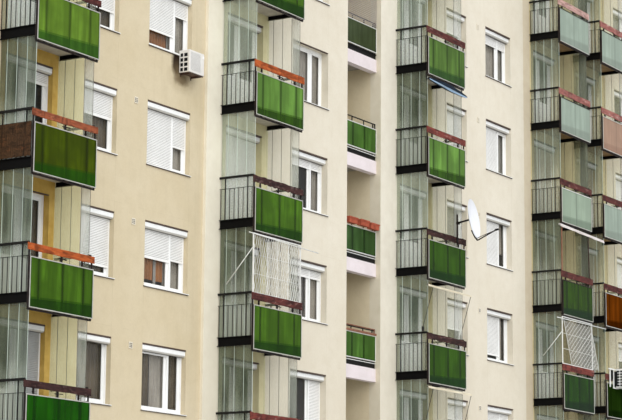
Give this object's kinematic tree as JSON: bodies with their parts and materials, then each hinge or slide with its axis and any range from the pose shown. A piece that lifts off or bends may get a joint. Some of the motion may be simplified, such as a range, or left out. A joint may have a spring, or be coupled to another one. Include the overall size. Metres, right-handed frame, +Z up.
{
  "type": "apartment block",
  "caption": "Length of a prefabricated apartment slab block with steel-framed glass balconies, recessed loggias, rendered walls and shuttered windows.",
  "frame": {"origin": "middle of the base at ground level (centre of the bounding box's bottom face)", "axes": "+X along the front from left to right as seen from outside, +Y from the balcony front towards the rear, +Z up"},
  "size_m": [33.86, 13.2928, 23.31],
  "materials": {
    "plinth_render": "matte",
    "concrete": "matte",
    "roof_felt": "matte",
    "coping_metal": "satin",
    "render_left": "matte",
    "render_middle": "matte",
    "render_right": "matte",
    "render_rear": "matte",
    "render_party": "matte",
    "window_glass": "gloss",
    "entrance_glass": "gloss",
    "loggia_render": "matte",
    "loggia_door_white": "satin",
    "loggia_glass": "gloss",
    "railing_paint": "satin",
    "fascia_paint": "matte",
    "balcony_concrete": "matte",
    "beam_paint": "satin",
    "screen_glass": "frosted",
    "frame_paint": "satin",
    "panel_glass_1": "gloss",
    "panel_glass_2": "gloss",
    "panel_glass_4": "gloss",
    "panel_glass_5": "gloss",
    "panel_glass_6": "gloss",
    "board_paint": "satin",
    "vent_plastic": "matte",
    "infill_slats": "satin",
    "ac_paint": "satin",
    "dish_paint": "satin",
    "dish_steel": "satin",
    "awning_cloth": "matte",
    "white_paint": "satin"
  },
  "bodies": {
    "root": {"plinth": "plinth_render", "ground_slab": "concrete", "floor_slabs": "concrete", "roof_slab": "roof_felt", "parapet_coping": "coping_metal", "front_wall_left": "render_left", "front_wall_middle": "render_middle", "front_wall_right": "render_right", "rear_wall": "render_rear", "party_wall_left": "render_party", "party_wall_right": "render_party", "front_glazing": "window_glass", "rear_glazing": "window_glass", "entrance_doors": "entrance_glass", "loggia_walls": "loggia_render", "loggia_doors": "loggia_door_white", "loggia_panels": "loggia_glass", "loggia_railings": "railing_paint", "loggia_fascias": "fascia_paint", "balcony_slabs": "balcony_concrete", "balcony_beams": "beam_paint", "side_railings": "railing_paint", "side_screens": "screen_glass", "front_railings": "frame_paint", "parapet_panels_1": "panel_glass_1", "parapet_panels_2": "panel_glass_2", "parapet_panels_4": "panel_glass_4", "parapet_panels_5": "panel_glass_5", "parapet_panels_6": "panel_glass_6", "handrail_boards": "board_paint", "vent_grilles": "vent_plastic", "side_infill": "infill_slats", "ac_unit_left": "ac_paint", "ac_unit_right": "ac_paint", "satellite_dish": "dish_paint", "dish_feed": "dish_steel", "dish_mast": "dish_steel", "awning_roll": "awning_cloth", "net_frames": "white_paint"}
  },
  "joints": []
}
